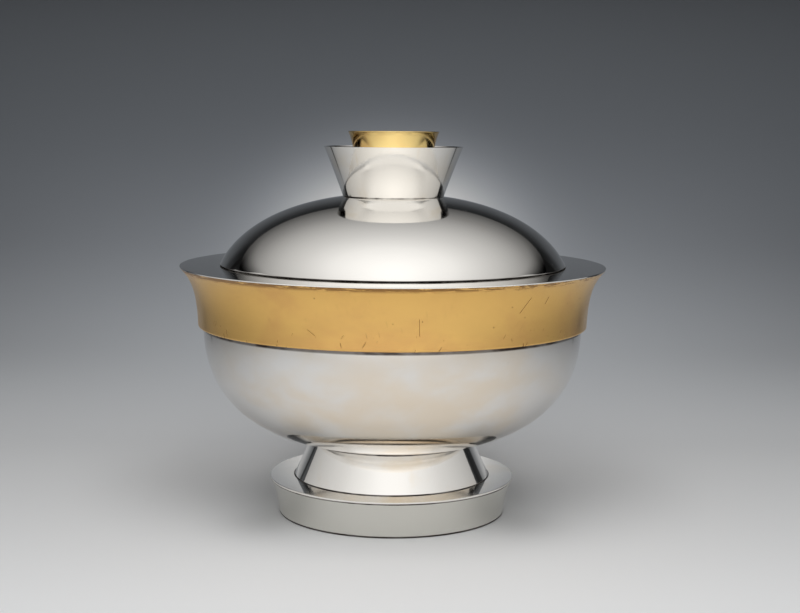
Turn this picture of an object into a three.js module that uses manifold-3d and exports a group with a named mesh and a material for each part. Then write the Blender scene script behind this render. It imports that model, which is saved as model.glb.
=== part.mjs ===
// Covered soup tureen in polished silver with a gilt rim band and a gilt cup on its knob.
// Every piece is turned about the vertical axis. Millimetres, +Z up, the table top at z = 0.
import * as THREE from 'three';
import { mergeVertices } from 'three/addons/utils/BufferGeometryUtils.js';
import Module from 'manifold-3d';

const wasm = await Module();
wasm.setup();

// Foot: a flared base ring under a flat plate, and a cone that carries the bowl
const baseRingHeight = 22.4;
const baseTaper = 5.6;
const baseFlareLength = 24;
const baseWall = 1.6;
const footWireWidth = 3.2;
const footWireHeight = 2.4;
const footPlateThickness = 1.4;
const footPlateLedge = 15.8;
const footPlateLip = 0.4;
const footPlateFlange = 5;
const footConeBottomRadius = 62.6;
const footConeTopRadius = 52;
const footConeWall = 1.6;

// Bowl: a superellipse below its equator, with an upright collar above it
const bowlLift = 19.1;
const bowlRadius = 120.6;
const bowlDepth = 85.5;
const bowlExponent = 2.58;
const bowlCollarHeight = 30.4;
const bowlWall = 1.4;

// Rim: a flat flange over the bowl's collar and a flared gilt band outside it
const flangeThickness = 0.8;
const flangeLipDepth = 3.6;
const flangeLipWall = 1.2;
const mouthLedge = 17.6;
const bandProud = 2.6;
const bandHeight = 37.2;
const bandFlare = 11.8;
const bandFlareLength = 11.3;
const bandWall = 1.2;
const bandHemThickness = 1.2;
const bandHemRadius = 0.8;

// Lid: a flattened dome that overlaps the mouth, with a bezel that drops into it
const lidOverlap = 7;
const domeHeight = 44.8;
const domeCentreDrop = 25.9;
const domeExponent = 2.24;
const domeWall = 1.2;
const bezelDrop = 9;
const bezelWall = 1.2;

// Knob: a flared shell with a recessed deck, and a gilt cup that stands on the deck
const knobRise = 29.7;
const knobFootRadius = 32;
const knobRimRadius = 44.1;
const knobWall = 1.4;
const deckRecess = 1.6;
const deckThickness = 1.6;
const cupRise = 9.5;
const cupRimRadius = 28.9;
const cupFootRadius = 26;
const cupWall = 1.3;
const cupFloorThickness = 1.4;

// Fastening: a stud under the cup draws the knob down on the lid with a cap nut
const studRadius = 2.5;
const studEngagement = 4.2;
const washerRadius = 9;
const washerThickness = 1.2;
const nutSides = 6;
const nutAcrossFlats = 9;
const nutFlatHeight = 4;
const nutCapHeight = 3;

// Clearances
const solderGap = 0.3;
const lidSeatGap = 0.3;
const bezelClearance = 0.8;
const studClearance = 0.3;
const threadClearance = 0.12;

// Facets: steps round a turned piece, round a small one and along each curve, closer at a flare's top
const roundSteps = 56;
const smallSteps = 24;
const bowlSteps = 12;
const domeSteps = 14;
const bandSteps = 6;
const baseSteps = 4;
const capSteps = 4;
const flareCrowding = 1.4;
const weldDistance = 1e-4;

// Heights, stacked up from the table
const plateBottom = baseRingHeight;
const plateTop = plateBottom + footPlateThickness;
const bowlBottom = plateTop + bowlLift;
const equator = bowlBottom + bowlDepth;
const collarTop = equator + bowlCollarHeight;
const rimTop = collarTop + flangeThickness;
const bandBottom = collarTop - bandHeight;
const lidSeat = rimTop + lidSeatGap;
const domeCentre = lidSeat - domeCentreDrop;
const domeSemiHeight = domeHeight + domeCentreDrop;
const knobRim = lidSeat + domeHeight + knobRise;
const deckTop = knobRim - deckRecess;
const deckBottom = deckTop - deckThickness;
const cupRim = knobRim + cupRise;

// Radii, worked out from the pieces that carry each other
const plateRadius = footConeBottomRadius + footPlateLedge;
const baseTopRadius = plateRadius - footPlateLip;
const bandWaistRadius = bowlRadius + bandProud;
const rimRadius = bandWaistRadius + bandFlare;
const mouthRadius = bowlRadius - mouthLedge;
const lidEdgeRadius = mouthRadius + lidOverlap;
const domeEdgeShare = superellipse(domeCentreDrop / domeSemiHeight, domeExponent);
const domeSemiWidth = lidEdgeRadius / domeEdgeShare;
const boreRadius = studRadius + studClearance;

// The other ordinate of a unit superellipse, for one ordinate between 0 and 1
function superellipse(share, exponent) {
  return (1 - share ** exponent) ** (1 / exponent);
}

// Points on a quarter superellipse from the axis (t = 0) to its equator (t = 1), both ends included
function quarterCurve(radius, depth, exponent, steps) {
  return Array.from({ length: steps + 1 }, (_, i) => {
    const angle = (i / steps) * (Math.PI / 2);
    const across = i === 0 ? 0 : Math.sin(angle) ** (2 / exponent);
    const along = i === steps ? 0 : Math.cos(angle) ** (2 / exponent);
    return [radius * across, depth * along];
  });
}

// Height of the bowl's underside at a radius, and of the dome's outside and inside
function bowlUnderside(radius) {
  return equator - bowlDepth * superellipse(radius / bowlRadius, bowlExponent);
}

function domeOutside(radius) {
  return domeCentre + domeSemiHeight * superellipse(radius / domeSemiWidth, domeExponent);
}

function domeInside(radius) {
  const share = superellipse(radius / (domeSemiWidth - domeWall), domeExponent);
  return domeCentre + (domeSemiHeight - domeWall) * share;
}

// Radius of the dome's inside at a height
function domeInsideRadius(height) {
  const share = (height - domeCentre) / (domeSemiHeight - domeWall);
  return (domeSemiWidth - domeWall) * superellipse(share, domeExponent);
}

// A trumpet flare: points [radius, height] downward from its wide top, and its inside face
// The radius falls off exponentially with depth, and the wall is measured square to the face
function flare(foot, spread, length, top, depth, wall, steps) {
  return Array.from({ length: steps + 1 }, (_, i) => {
    const down = depth * (i / steps) ** flareCrowding;
    const reach = spread * Math.exp(-down / length);
    const slope = reach / length;
    return [foot + reach - wall * Math.hypot(1, slope), top - down];
  });
}

const finishes = {
  silver: new THREE.MeshStandardMaterial({ color: 0xd9d8d4, roughness: 0.12, metalness: 1 }),
  satinSilver: new THREE.MeshStandardMaterial({ color: 0xd2d0ca, roughness: 0.28, metalness: 1 }),
  gilt: new THREE.MeshStandardMaterial({ color: 0xd3a657, roughness: 0.24, metalness: 1 }),
  brass: new THREE.MeshStandardMaterial({ color: 0xc2a35c, roughness: 0.35, metalness: 1 }),
};

// A piece turned about +Z from a profile of [radius, height] points that runs with material on its left
function turnedGeometry(profile, steps = roundSteps) {
  const points = profile.map(([radius, height]) => new THREE.Vector2(radius, height));
  return new THREE.LatheGeometry(points, steps).rotateX(Math.PI / 2);
}

function piece(name, geometry, finish) {
  const mesh = new THREE.Mesh(geometry, finish);
  mesh.name = name;
  return mesh;
}

// A ring profile is a loop, so it ends on its first point
function loop(points) {
  return [...points, points[0]];
}

// A straight conical wall at a height, between two levels with known radii
function coneRadius(height, lowHeight, lowRadius, highHeight, highRadius) {
  return lowRadius + ((height - lowHeight) / (highHeight - lowHeight)) * (highRadius - lowRadius);
}

// Faces of the base ring, downward from the plate to the table: outside with no wall, inside with one
function baseFace(wall) {
  const spread = baseTaper / (1 - Math.exp(-baseRingHeight / baseFlareLength));
  const foot = baseTopRadius - spread;
  return flare(foot, spread, baseFlareLength, plateBottom, baseRingHeight, wall, baseSteps);
}

function baseRing() {
  return turnedGeometry(loop([...baseFace(0).reverse(), ...baseFace(baseWall)]));
}

// A wire inside the ring's lower edge stiffens it and widens its footing on the table
function footWire() {
  const outer = baseFace(baseWall).at(-1)[0] - solderGap;
  const inner = outer - footWireWidth;
  return turnedGeometry(loop([
    [inner, 0],
    [outer, 0],
    [outer, footWireHeight],
    [inner, footWireHeight],
  ]));
}

function footPlate() {
  const inner = footConeBottomRadius - footConeWall - footPlateFlange;
  return turnedGeometry(loop([
    [inner, plateBottom],
    [plateRadius, plateBottom],
    [plateRadius, plateTop],
    [inner, plateTop],
  ]));
}

// The cone's upper edge follows the bowl's underside
function footCone() {
  const innerTop = footConeTopRadius - footConeWall;
  return turnedGeometry(loop([
    [footConeBottomRadius - footConeWall, plateTop],
    [footConeBottomRadius, plateTop],
    [footConeTopRadius, bowlUnderside(footConeTopRadius) - solderGap],
    [innerTop, bowlUnderside(innerTop) - solderGap],
  ]));
}

function bowl() {
  const outside = quarterCurve(bowlRadius, bowlDepth, bowlExponent, bowlSteps);
  const inside = quarterCurve(bowlRadius - bowlWall, bowlDepth - bowlWall, bowlExponent, bowlSteps);
  return turnedGeometry([
    ...outside.map(([radius, drop]) => [radius, equator - drop]),
    [bowlRadius, collarTop],
    [bowlRadius - bowlWall, collarTop],
    ...inside.reverse().map(([radius, drop]) => [radius, equator - drop]),
  ]);
}

// Flat flange with a turned-down lip round the mouth
function rimFlange() {
  const lipOuter = mouthRadius + flangeLipWall;
  return turnedGeometry(loop([
    [mouthRadius, rimTop - flangeLipDepth],
    [lipOuter, rimTop - flangeLipDepth],
    [lipOuter, collarTop],
    [rimRadius, collarTop],
    [rimRadius, rimTop],
    [mouthRadius, rimTop],
  ]));
}

// Flared band: its top meets the flange, its hem is turned in to the bowl and rounded outside
function giltBand() {
  const face = flare(bandWaistRadius, bandFlare, bandFlareLength, collarTop, bandHeight, 0, bandSteps);
  const back = flare(bandWaistRadius, bandFlare, bandFlareLength, collarTop, bandHeight, bandWall, bandSteps);
  const hemTop = bandBottom + bandHemThickness;
  const hemOuter = face.at(-1)[0];
  const hemInner = bowlRadius + solderGap;
  const backAboveHem = back.filter(([, height]) => height > hemTop);
  return turnedGeometry(loop([
    [hemInner, bandBottom],
    [hemOuter - bandHemRadius, bandBottom],
    [hemOuter, bandBottom + bandHemRadius],
    ...face.slice(0, -1).reverse(),
    ...backAboveHem,
    [back.at(-1)[0], hemTop],
    [hemInner, hemTop],
  ]));
}

// The dome's wall stops on the seat plane, and its crown is bored for the stud
function lidDome() {
  const crown = (radius, depth) =>
    quarterCurve(radius, depth, domeExponent, domeSteps)
      .map(([across, rise]) => [across, domeCentre + rise])
      .filter(([across, height]) => across > boreRadius && height > lidSeat);
  const outside = crown(domeSemiWidth, domeSemiHeight);
  const inside = crown(domeSemiWidth - domeWall, domeSemiHeight - domeWall);
  return turnedGeometry(loop([
    [domeInsideRadius(lidSeat), lidSeat],
    [lidEdgeRadius, lidSeat],
    ...outside.reverse(),
    [boreRadius, domeOutside(boreRadius)],
    [boreRadius, domeInside(boreRadius)],
    ...inside,
  ]));
}

// Bezel: a flat seat soldered inside the dome's edge and a collar that locates in the mouth
function lidBezel() {
  const outer = mouthRadius - bezelClearance;
  const inner = outer - bezelWall;
  const seatTop = lidSeat + bezelWall;
  const seatOuter = domeInsideRadius(seatTop) - solderGap;
  return turnedGeometry(loop([
    [inner, lidSeat - bezelDrop],
    [outer, lidSeat - bezelDrop],
    [outer, lidSeat],
    [seatOuter, lidSeat],
    [seatOuter, seatTop],
    [inner, seatTop],
  ]));
}

// The knob's lower edge follows the dome
function knobShell() {
  const innerFoot = knobFootRadius - knobWall;
  return turnedGeometry(loop([
    [innerFoot, domeOutside(innerFoot) + solderGap],
    [knobFootRadius, domeOutside(knobFootRadius) + solderGap],
    [knobRimRadius, knobRim],
    [knobRimRadius - knobWall, knobRim],
  ]));
}

function knobDeck() {
  const low = domeOutside(knobFootRadius) + solderGap;
  const wallAt = (height) => coneRadius(height, low, knobFootRadius, knobRim, knobRimRadius);
  const inset = knobWall + solderGap;
  return turnedGeometry(loop([
    [boreRadius, deckBottom],
    [wallAt(deckBottom) - inset, deckBottom],
    [wallAt(deckTop) - inset, deckTop],
    [boreRadius, deckTop],
  ]));
}

// Open cup with a flat floor
function giltCup() {
  const floorTop = deckTop + cupFloorThickness;
  const floorRadius = coneRadius(floorTop, deckTop, cupFootRadius, cupRim, cupRimRadius) - cupWall;
  return turnedGeometry([
    [0, deckTop],
    [cupFootRadius, deckTop],
    [cupRimRadius, cupRim],
    [cupRimRadius - cupWall, cupRim],
    [floorRadius, floorTop],
    [0, floorTop],
  ]);
}

// The washer lies under the crown, and the nut's flat face under the washer
const washerTop = domeInside(washerRadius) - solderGap;
const nutTop = washerTop - washerThickness;

function finialStud() {
  const end = nutTop - studEngagement;
  return turnedGeometry([
    [0, end],
    [studRadius, end],
    [studRadius, deckTop],
    [0, deckTop],
  ], smallSteps);
}

function finialWasher() {
  return turnedGeometry(loop([
    [boreRadius, nutTop],
    [washerRadius, nutTop],
    [washerRadius, washerTop],
    [boreRadius, washerTop],
  ]), smallSteps);
}

// A closed surface of shared vertices, as the boolean library needs it
function solidOf(geometry) {
  const bare = geometry.clone();
  bare.deleteAttribute('normal');
  bare.deleteAttribute('uv');
  const welded = mergeVertices(bare, weldDistance);
  const index = welded.index ? welded.index.array : Uint32Array.from(welded.attributes.position.array.keys());
  const triVerts = [];
  for (let i = 0; i < index.length; i += 3) {
    const [a, b, c] = index.subarray(i, i + 3);
    if (a !== b && b !== c && c !== a) triVerts.push(a, b, c);
  }
  return new wasm.Manifold(new wasm.Mesh({
    numProp: 3,
    vertProperties: welded.attributes.position.array,
    triVerts: Uint32Array.from(triVerts),
  }));
}

function geometryOf(solid) {
  const mesh = solid.getMesh();
  return new THREE.BufferGeometry()
    .setAttribute('position', new THREE.BufferAttribute(mesh.vertProperties, 3))
    .setIndex(new THREE.BufferAttribute(mesh.triVerts, 1))
    .toNonIndexed();
}

// Cap nut: a round-ended blank with a blind bore, cut to six flats
function finialNut() {
  const cornerRadius = nutAcrossFlats / 2 / Math.cos(Math.PI / nutSides);
  const bore = studRadius + threadClearance;
  const boreEnd = nutTop - studEngagement - studClearance;
  const flatBottom = nutTop - nutFlatHeight;
  const cap = quarterCurve(cornerRadius, nutCapHeight, 2, capSteps)
    .map(([across, drop]) => [across, flatBottom - drop]);
  const blank = turnedGeometry([
    ...cap,
    [cornerRadius, nutTop],
    [bore, nutTop],
    [bore, boreEnd],
    [0, boreEnd],
  ], smallSteps);
  const corners = Array.from({ length: nutSides }, (_, i) => {
    const angle = (i / nutSides) * 2 * Math.PI;
    return new THREE.Vector2(cornerRadius * Math.cos(angle), cornerRadius * Math.sin(angle));
  });
  const barBottom = flatBottom - 2 * nutCapHeight;
  const bar = new THREE.ExtrudeGeometry(new THREE.Shape(corners), {
    depth: nutTop + nutCapHeight - barBottom,
    bevelEnabled: false,
  }).translate(0, 0, barBottom);
  return geometryOf(solidOf(blank).intersect(solidOf(bar)));
}

const body = new THREE.Group();
body.add(
  piece('base_ring', baseRing(), finishes.silver),
  piece('foot_wire', footWire(), finishes.silver),
  piece('foot_plate', footPlate(), finishes.silver),
  piece('foot_cone', footCone(), finishes.silver),
  piece('bowl', bowl(), finishes.satinSilver),
  piece('rim_flange', rimFlange(), finishes.silver),
  piece('gilt_band', giltBand(), finishes.gilt),
);

const lid = new THREE.Group();
lid.add(
  piece('lid_dome', lidDome(), finishes.silver),
  piece('lid_bezel', lidBezel(), finishes.silver),
  piece('knob_shell', knobShell(), finishes.silver),
  piece('knob_deck', knobDeck(), finishes.silver),
  piece('gilt_cup', giltCup(), finishes.gilt),
  piece('finial_stud', finialStud(), finishes.brass),
  piece('finial_washer', finialWasher(), finishes.brass),
  piece('finial_nut', finialNut(), finishes.brass),
);

const tureen = new THREE.Group();
tureen.add(body, lid);

export default tureen;
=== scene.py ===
import math

import bpy
import numpy as np
from mathutils import Matrix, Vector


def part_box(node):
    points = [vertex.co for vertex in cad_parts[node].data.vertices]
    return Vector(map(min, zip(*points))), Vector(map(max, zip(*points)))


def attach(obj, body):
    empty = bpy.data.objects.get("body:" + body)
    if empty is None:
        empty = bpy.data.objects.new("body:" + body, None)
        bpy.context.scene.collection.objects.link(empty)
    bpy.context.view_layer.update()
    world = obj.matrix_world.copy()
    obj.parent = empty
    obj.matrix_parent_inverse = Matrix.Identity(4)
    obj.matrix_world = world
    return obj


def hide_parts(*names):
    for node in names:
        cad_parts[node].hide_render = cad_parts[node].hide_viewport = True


# Silver soup tureen with a gilt rim band and a gilt cup on its knob. Metres, +Z up, table top at z = 0.
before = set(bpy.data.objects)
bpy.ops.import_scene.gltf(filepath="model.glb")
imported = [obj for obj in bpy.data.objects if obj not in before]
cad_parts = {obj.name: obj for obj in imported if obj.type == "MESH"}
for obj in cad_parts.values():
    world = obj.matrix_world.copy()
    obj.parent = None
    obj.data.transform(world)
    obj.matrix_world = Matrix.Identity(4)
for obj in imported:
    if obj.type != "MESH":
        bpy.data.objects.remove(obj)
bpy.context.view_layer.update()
print("frame: loaded", len(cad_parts), "nodes")


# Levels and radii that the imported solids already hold
def topOf(node):
    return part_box(node)[1].z


def bottomOf(node):
    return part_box(node)[0].z


def radiusOf(node):
    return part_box(node)[1].x


# Profiles: lines of (radius, height) points, joined into the section of a turned piece
sampling = {"leastPoints": 5, "crowding": 0.45, "cornerPoints": 8, "curvePoints": 600, "flarePoints": 400}


def straight(*corners):
    # one straight line through two points
    return np.array(corners, float)


def outline(*corners):
    # straight lines from each corner to the next, the last one back to the first
    return [straight(first, second) for first, second in zip(corners, corners[1:] + corners[:1])]


def quarterCurve(radius, depth, exponent, count=sampling["curvePoints"]):
    # superellipse quarter from the axis to the equator: r = a sin(t)^(2/n), rise = b cos(t)^(2/n)
    angle = np.linspace(0.0, math.pi / 2, count)
    across = radius * np.sin(angle) ** (2 / exponent)
    rise = depth * np.clip(np.cos(angle), 0.0, 1.0) ** (2 / exponent)
    return np.column_stack([across, rise])


def superellipse(share, exponent):
    # the other ordinate of a unit superellipse: (1 - s^n)^(1/n)
    return (1 - share ** exponent) ** (1 / exponent)


def flare(foot, spread, length, top, depth, wall):
    # trumpet flare downward: r = foot + spread exp(-down / length), less the wall measured square to the face
    down = np.linspace(0.0, depth, sampling["flarePoints"])
    reach = spread * np.exp(-down / length)
    return np.column_stack([foot + reach - wall * np.hypot(1, reach / length), top - down])


def hollowFlare(height, low, high, foot, rim, hollow):
    # radius of a straight flare from foot to rim less a slight hollow: 4 h s (1 - s)
    share = (height - low) / (high - low)
    return foot + share * (rim - foot) - 4 * hollow * share * (1 - share)


def spaced(line, step, cutStart, cutEnd):
    # the line cut back at its ends and sampled again by arc length, closer together near both ends
    length = np.concatenate([[0.0], np.cumsum(np.hypot(*np.diff(line, axis=0).T))])
    span = length[-1] - cutStart - cutEnd
    count = max(sampling["leastPoints"], int(span / step))
    even = np.linspace(0.0, 1.0, count)
    eased = 0.5 - 0.5 * np.cos(math.pi * even)
    place = cutStart + (sampling["crowding"] * eased + (1 - sampling["crowding"]) * even) * span
    return np.column_stack([np.interp(place, length, line[:, k]) for k in (0, 1)])


def section(lines, step, edge, closed=True):
    # lines joined end to end, each corner rounded by a quadratic curve that starts one edge radius away
    count = len(lines)
    edges = [edge] * count if np.isscalar(edge) else list(edge)  # edge i is the corner after line i
    if not closed:
        edges[-1] = 0.0
    steps = [step] * count if np.isscalar(step) else step
    parts = [spaced(line, steps[i], edges[i - 1], edges[i]) for i, line in enumerate(lines)]
    blend = np.linspace(0.0, 1.0, sampling["cornerPoints"])[1:-1, None]
    profile = []
    for i, part in enumerate(parts):
        profile.append(part)
        if edges[i] > 0:
            corner, after = lines[i][-1], parts[(i + 1) % count][0]
            bend = (1 - blend) ** 2 * part[-1] + 2 * blend * (1 - blend) * corner + blend ** 2 * after
            profile.append(bend)
    return np.concatenate(profile)


# Meshes: a grid of points, rows along the profile and columns round the axis
def fullTurn(steps):
    return np.linspace(0.0, 2 * math.pi, steps, endpoint=False)


def roundGrid(radius, height, turn):
    # points round the axis: x = r cos(turn), y = r sin(turn), z = height
    return np.stack([radius * np.cos(turn), radius * np.sin(turn), height + 0 * turn], axis=-1)


def gridMesh(name, grid, closed):
    # quads between neighbouring rows and columns; an open profile ends on the axis, where fans close it
    # its map: share of the turn by length along the profile
    rows, steps = grid.shape[:2]
    row = np.arange(rows) if closed else np.arange(1, rows - 2)
    i, j = (a.ravel() for a in np.meshgrid(row, np.arange(steps), indexing="ij"))
    nextRow, nextStep = (i + 1) % rows, (j + 1) % steps
    quads = np.column_stack([i * steps + j, i * steps + nextStep,
                             nextRow * steps + nextStep, nextRow * steps + j])
    along = np.concatenate([[0.0], np.cumsum(np.linalg.norm(np.diff(grid[:, 0], axis=0), axis=1))])
    along = np.append(along, along[-1] + np.linalg.norm(grid[0, 0] - grid[-1, 0]))
    left, right, low, high = j / steps, (j + 1) / steps, along[i], along[i + 1]
    faces = [quads]
    places = [np.stack([left, low, right, low, right, high, left, high], axis=1).reshape(-1, 2)]
    keep = np.ones(rows * steps, bool)
    if not closed:
        step = np.arange(steps)
        for tip, edge, first, second in ((0, 1, step + 1, step), (rows - 1, rows - 2, step, step + 1)):
            middle, level = (step + 0.5) / steps, 0 * step + along[edge]
            faces.append(np.column_stack([0 * step + tip * steps, edge * steps + first % steps,
                                          edge * steps + second % steps]))
            places.append(np.column_stack([middle, 0 * step + along[tip], first / steps, level,
                                           second / steps, level]).reshape(-1, 2))
            keep[tip * steps + 1:(tip + 1) * steps] = False  # the row on the axis is one point
    renumber = np.cumsum(keep) - 1
    mesh = bpy.data.meshes.new(name)
    points = grid.reshape(-1, 3)[keep]
    mesh.from_pydata(points.tolist(), [], [face for part in faces for face in renumber[part].tolist()])
    mesh.polygons.foreach_set("use_smooth", np.ones(len(mesh.polygons), bool))
    layer = mesh.uv_layers.new(name="turn")
    layer.data.foreach_set("uv", np.concatenate(places).astype(np.float32).ravel())
    mesh.update()
    return mesh


def placePiece(name, mesh, material, body, node):
    piece = bpy.data.objects.new(name, mesh)
    bpy.context.scene.collection.objects.link(piece)
    mesh.materials.append(material)
    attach(piece, body)
    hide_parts(node)


def placeTurned(name, lines, settings, material, body, node, closed=True):
    # the section of the lines carried round the axis; a list of steps or edges has one for each line
    profile = section(lines, settings["step"], settings["edge"], closed)
    grid = roundGrid(profile[:, :1], profile[:, 1:], fullTurn(settings["steps"]))
    placePiece(name, gridMesh(name, grid, closed), material, body, node)


# Node helpers for the finishes
def addNode(tree, kind, sockets=None, **settings):
    made = tree.nodes.new(kind)
    for key, value in settings.items():
        setattr(made, key, value)
    for key, value in (sockets or {}).items():
        if isinstance(value, bpy.types.NodeSocket):
            tree.links.new(value, made.inputs[key])
        else:
            made.inputs[key].default_value = value
    return made


def calculate(tree, operation, first, second=0.0, third=0.0, clamp=False):
    sockets = {0: first, 1: second, 2: third}
    return addNode(tree, "ShaderNodeMath", sockets, operation=operation, use_clamp=clamp).outputs[0]


def times(tree, first, second):
    return calculate(tree, "MULTIPLY", first, second)


def timesPlus(tree, first, second, third):
    # a b + c
    return calculate(tree, "MULTIPLY_ADD", first, second, third)


def minus(tree, first, second):
    return calculate(tree, "SUBTRACT", first, second)


def larger(tree, first, second):
    return calculate(tree, "MAXIMUM", first, second)


def vectorMath(tree, operation, first, second):
    node = addNode(tree, "ShaderNodeVectorMath", {0: first, 1: second}, operation=operation)
    return node.outputs["Value" if operation in ("DOT_PRODUCT", "DISTANCE") else "Vector"]


def squareSum(tree, first, second):
    # a^2 + b^2
    return timesPlus(tree, first, first, times(tree, second, second))


def remap(tree, value, fromLow, fromHigh, toLow=0.0, toHigh=1.0):
    # smooth step from one range to another
    sockets = {"Value": value, "From Min": fromLow, "From Max": fromHigh, "To Min": toLow, "To Max": toHigh}
    return addNode(tree, "ShaderNodeMapRange", sockets, interpolation_type="SMOOTHSTEP").outputs["Result"]


def mixColour(tree, share, first, second, blend="MIX"):
    node = addNode(tree, "ShaderNodeMix", {0: share, 6: first, 7: second}, data_type="RGBA", blend_type=blend)
    return node.outputs[2]


def objectPlace(tree, scale=(1, 1, 1), turn=(0, 0, 0), shift=(0, 0, 0)):
    place = addNode(tree, "ShaderNodeTexCoord").outputs["Object"]
    sockets = {"Vector": place, "Scale": scale, "Rotation": turn, "Location": shift}
    return addNode(tree, "ShaderNodeMapping", sockets).outputs["Vector"]


def objectAxes(tree):
    place = addNode(tree, "ShaderNodeTexCoord").outputs["Object"]
    return addNode(tree, "ShaderNodeSeparateXYZ", {0: place}).outputs


def clouds(tree, place, scale, detail=4.0, roughness=0.55, distortion=0.0):
    sockets = {"Vector": place, "Scale": scale, "Detail": detail, "Roughness": roughness,
               "Distortion": distortion}
    return addNode(tree, "ShaderNodeTexNoise", sockets).outputs["Fac"]


def radialPlace(tree):
    # distance from the axis, and height
    axes = objectAxes(tree)
    return calculate(tree, "SQRT", squareSum(tree, axes["X"], axes["Y"])), axes["Z"]


def ringPlace(tree, spread):
    # (distance from the axis, height, a little of x): noise on it runs round the piece as turning lines do
    radius, height = radialPlace(tree)
    sideways = times(tree, objectAxes(tree)["X"], spread)
    return addNode(tree, "ShaderNodeCombineXYZ", {0: radius, 1: height, 2: sideways}).outputs[0]


def unrolled(tree, radius, slant=0.0, stretch=1.0):
    # the side of a round piece laid flat: (angle from the front times radius, height), leaned and drawn out
    axes = objectAxes(tree)
    angle = calculate(tree, "ARCTAN2", axes["X"], times(tree, axes["Y"], -1.0))
    across = times(tree, angle, radius)
    flat = addNode(tree, "ShaderNodeCombineXYZ", {0: across, 1: axes["Z"]}).outputs[0]
    sockets = {"Vector": flat, "Rotation": (0, 0, slant), "Scale": (1, stretch, 1)}
    return addNode(tree, "ShaderNodeMapping", sockets, vector_type="TEXTURE").outputs["Vector"]


speckleLook = {"least": 0.35, "soft": 0.6}


def speckles(tree, place, scale, size, share):
    # round dots on flat coordinates: the share of cells that holds one, and each dot's size in cells
    sockets = {"Vector": place, "Scale": scale, "Randomness": 1.0}
    cells = addNode(tree, "ShaderNodeTexVoronoi", sockets, feature="F1", voronoi_dimensions="2D")
    pick = addNode(tree, "ShaderNodeSeparateColor", {0: cells.outputs["Color"]}).outputs
    chosen = calculate(tree, "LESS_THAN", pick[0], share)
    reach = timesPlus(tree, pick[1], size, size * speckleLook["least"])
    outward = calculate(tree, "DIVIDE", cells.outputs["Distance"], reach)
    inside = calculate(tree, "SUBTRACT", 1.0, outward, clamp=True)
    return times(tree, chosen, remap(tree, inside, 0.0, speckleLook["soft"]))


scratchLook = {"wobbleScale": 0.6, "patchScale": 34.0, "detail": 2.0, "patchLow": 0.62, "patchHigh": 0.72}


def scratches(tree, look):
    # fine lines: borders of long thin cells, broken up by clouds
    amount, shift = look["fineAmount"], look["fineShift"]
    place = objectPlace(tree, look["fineScale"], look["fineTurn"], shift)
    sockets = {"Vector": place, "Scale": scratchLook["wobbleScale"], "Detail": scratchLook["detail"]}
    wobble = addNode(tree, "ShaderNodeTexNoise", sockets).outputs["Color"]
    bent = vectorMath(tree, "ADD", place, wobble)
    cells = addNode(tree, "ShaderNodeTexVoronoi", {"Vector": bent, "Scale": 1.0}, feature="DISTANCE_TO_EDGE")
    line = remap(tree, cells.outputs["Distance"], look["fineWidth"], 0.0)
    patch = clouds(tree, objectPlace(tree, shift=shift), scratchLook["patchScale"], scratchLook["detail"])
    shown = remap(tree, patch, scratchLook["patchLow"] - amount, scratchLook["patchHigh"] - amount)
    return times(tree, line, shown)


def newFinish(name, metallic=1.0):
    material = bpy.data.materials.new(name)
    material.use_nodes = True
    tree = material.node_tree
    tree.nodes.clear()
    shader = addNode(tree, "ShaderNodeBsdfPrincipled", {"Metallic": metallic})
    addNode(tree, "ShaderNodeOutputMaterial", {"Surface": shader.outputs[0]})
    return material, tree, shader


def dress(tree, shader, look, colour, roughness, height):
    # colour, roughness and the bump of a height go to the shader
    sockets = {"Height": height, "Distance": look["bumpDistance"], "Strength": look["bumpStrength"]}
    bump = addNode(tree, "ShaderNodeBump", sockets)
    for key, value in (("Base Color", colour), ("Roughness", roughness), ("Normal", bump.outputs[0])):
        tree.links.new(value, shader.inputs[key])


# Joint circles as (radius, height): where pieces meet, colour is darkened: a little grime left after
# polishing, and painted shade in the gaps and contact lines
jointRadius = {"knobFoot": 0.032, "cupFoot": 0.0256, "coneTop": 0.052, "standing": 0.0724}
recessRise = 0.0006
lidEdge = (radiusOf("lid_dome"), bottomOf("lid_dome"))
knobJoint = (jointRadius["knobFoot"], bottomOf("knob_shell"))
cupJoint = (jointRadius["cupFoot"], bottomOf("gilt_cup"))
recess = (radiusOf("knob_deck"), topOf("knob_deck") + recessRise)
# the standing edge on the table: its darkening is a painted contact shadow
standing = (jointRadius["standing"], 0.0)
coneFootJoint = (radiusOf("foot_cone"), bottomOf("foot_cone"))
coneTopJoint = (jointRadius["coneTop"], topOf("foot_cone"))
plateJoint = (radiusOf("base_ring"), topOf("base_ring"))
hemJoint = (radiusOf("bowl"), bottomOf("gilt_band"))
grimeAndShadeLook = {
    "dark": (0.045, 0.032, 0.026, 1), "dull": 0.35, "core": 0.6,
    "patchScale": 40.0, "patchDetail": 3.0, "patchLow": 0.42, "patchHigh": 0.60,
}


def grimeAndShade(tree, rings):
    # nearness to circles given as ((radius, height), reach, least), broken up by clouds down to the least:
    # grime and painted shade in the joints
    radius, height = radialPlace(tree)
    cloud = clouds(tree, objectPlace(tree), grimeAndShadeLook["patchScale"], grimeAndShadeLook["patchDetail"])
    total = 0.0
    for (ringRadius, ringHeight), reach, least in rings:
        across = minus(tree, radius, ringRadius)
        rise = minus(tree, height, ringHeight)
        distance = calculate(tree, "SQRT", squareSum(tree, across, rise))
        near = remap(tree, distance, reach, reach * grimeAndShadeLook["core"])
        broken = remap(tree, cloud, grimeAndShadeLook["patchLow"], grimeAndShadeLook["patchHigh"], least, 1.0)
        total = larger(tree, times(tree, near, broken), total)
    return total
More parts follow.
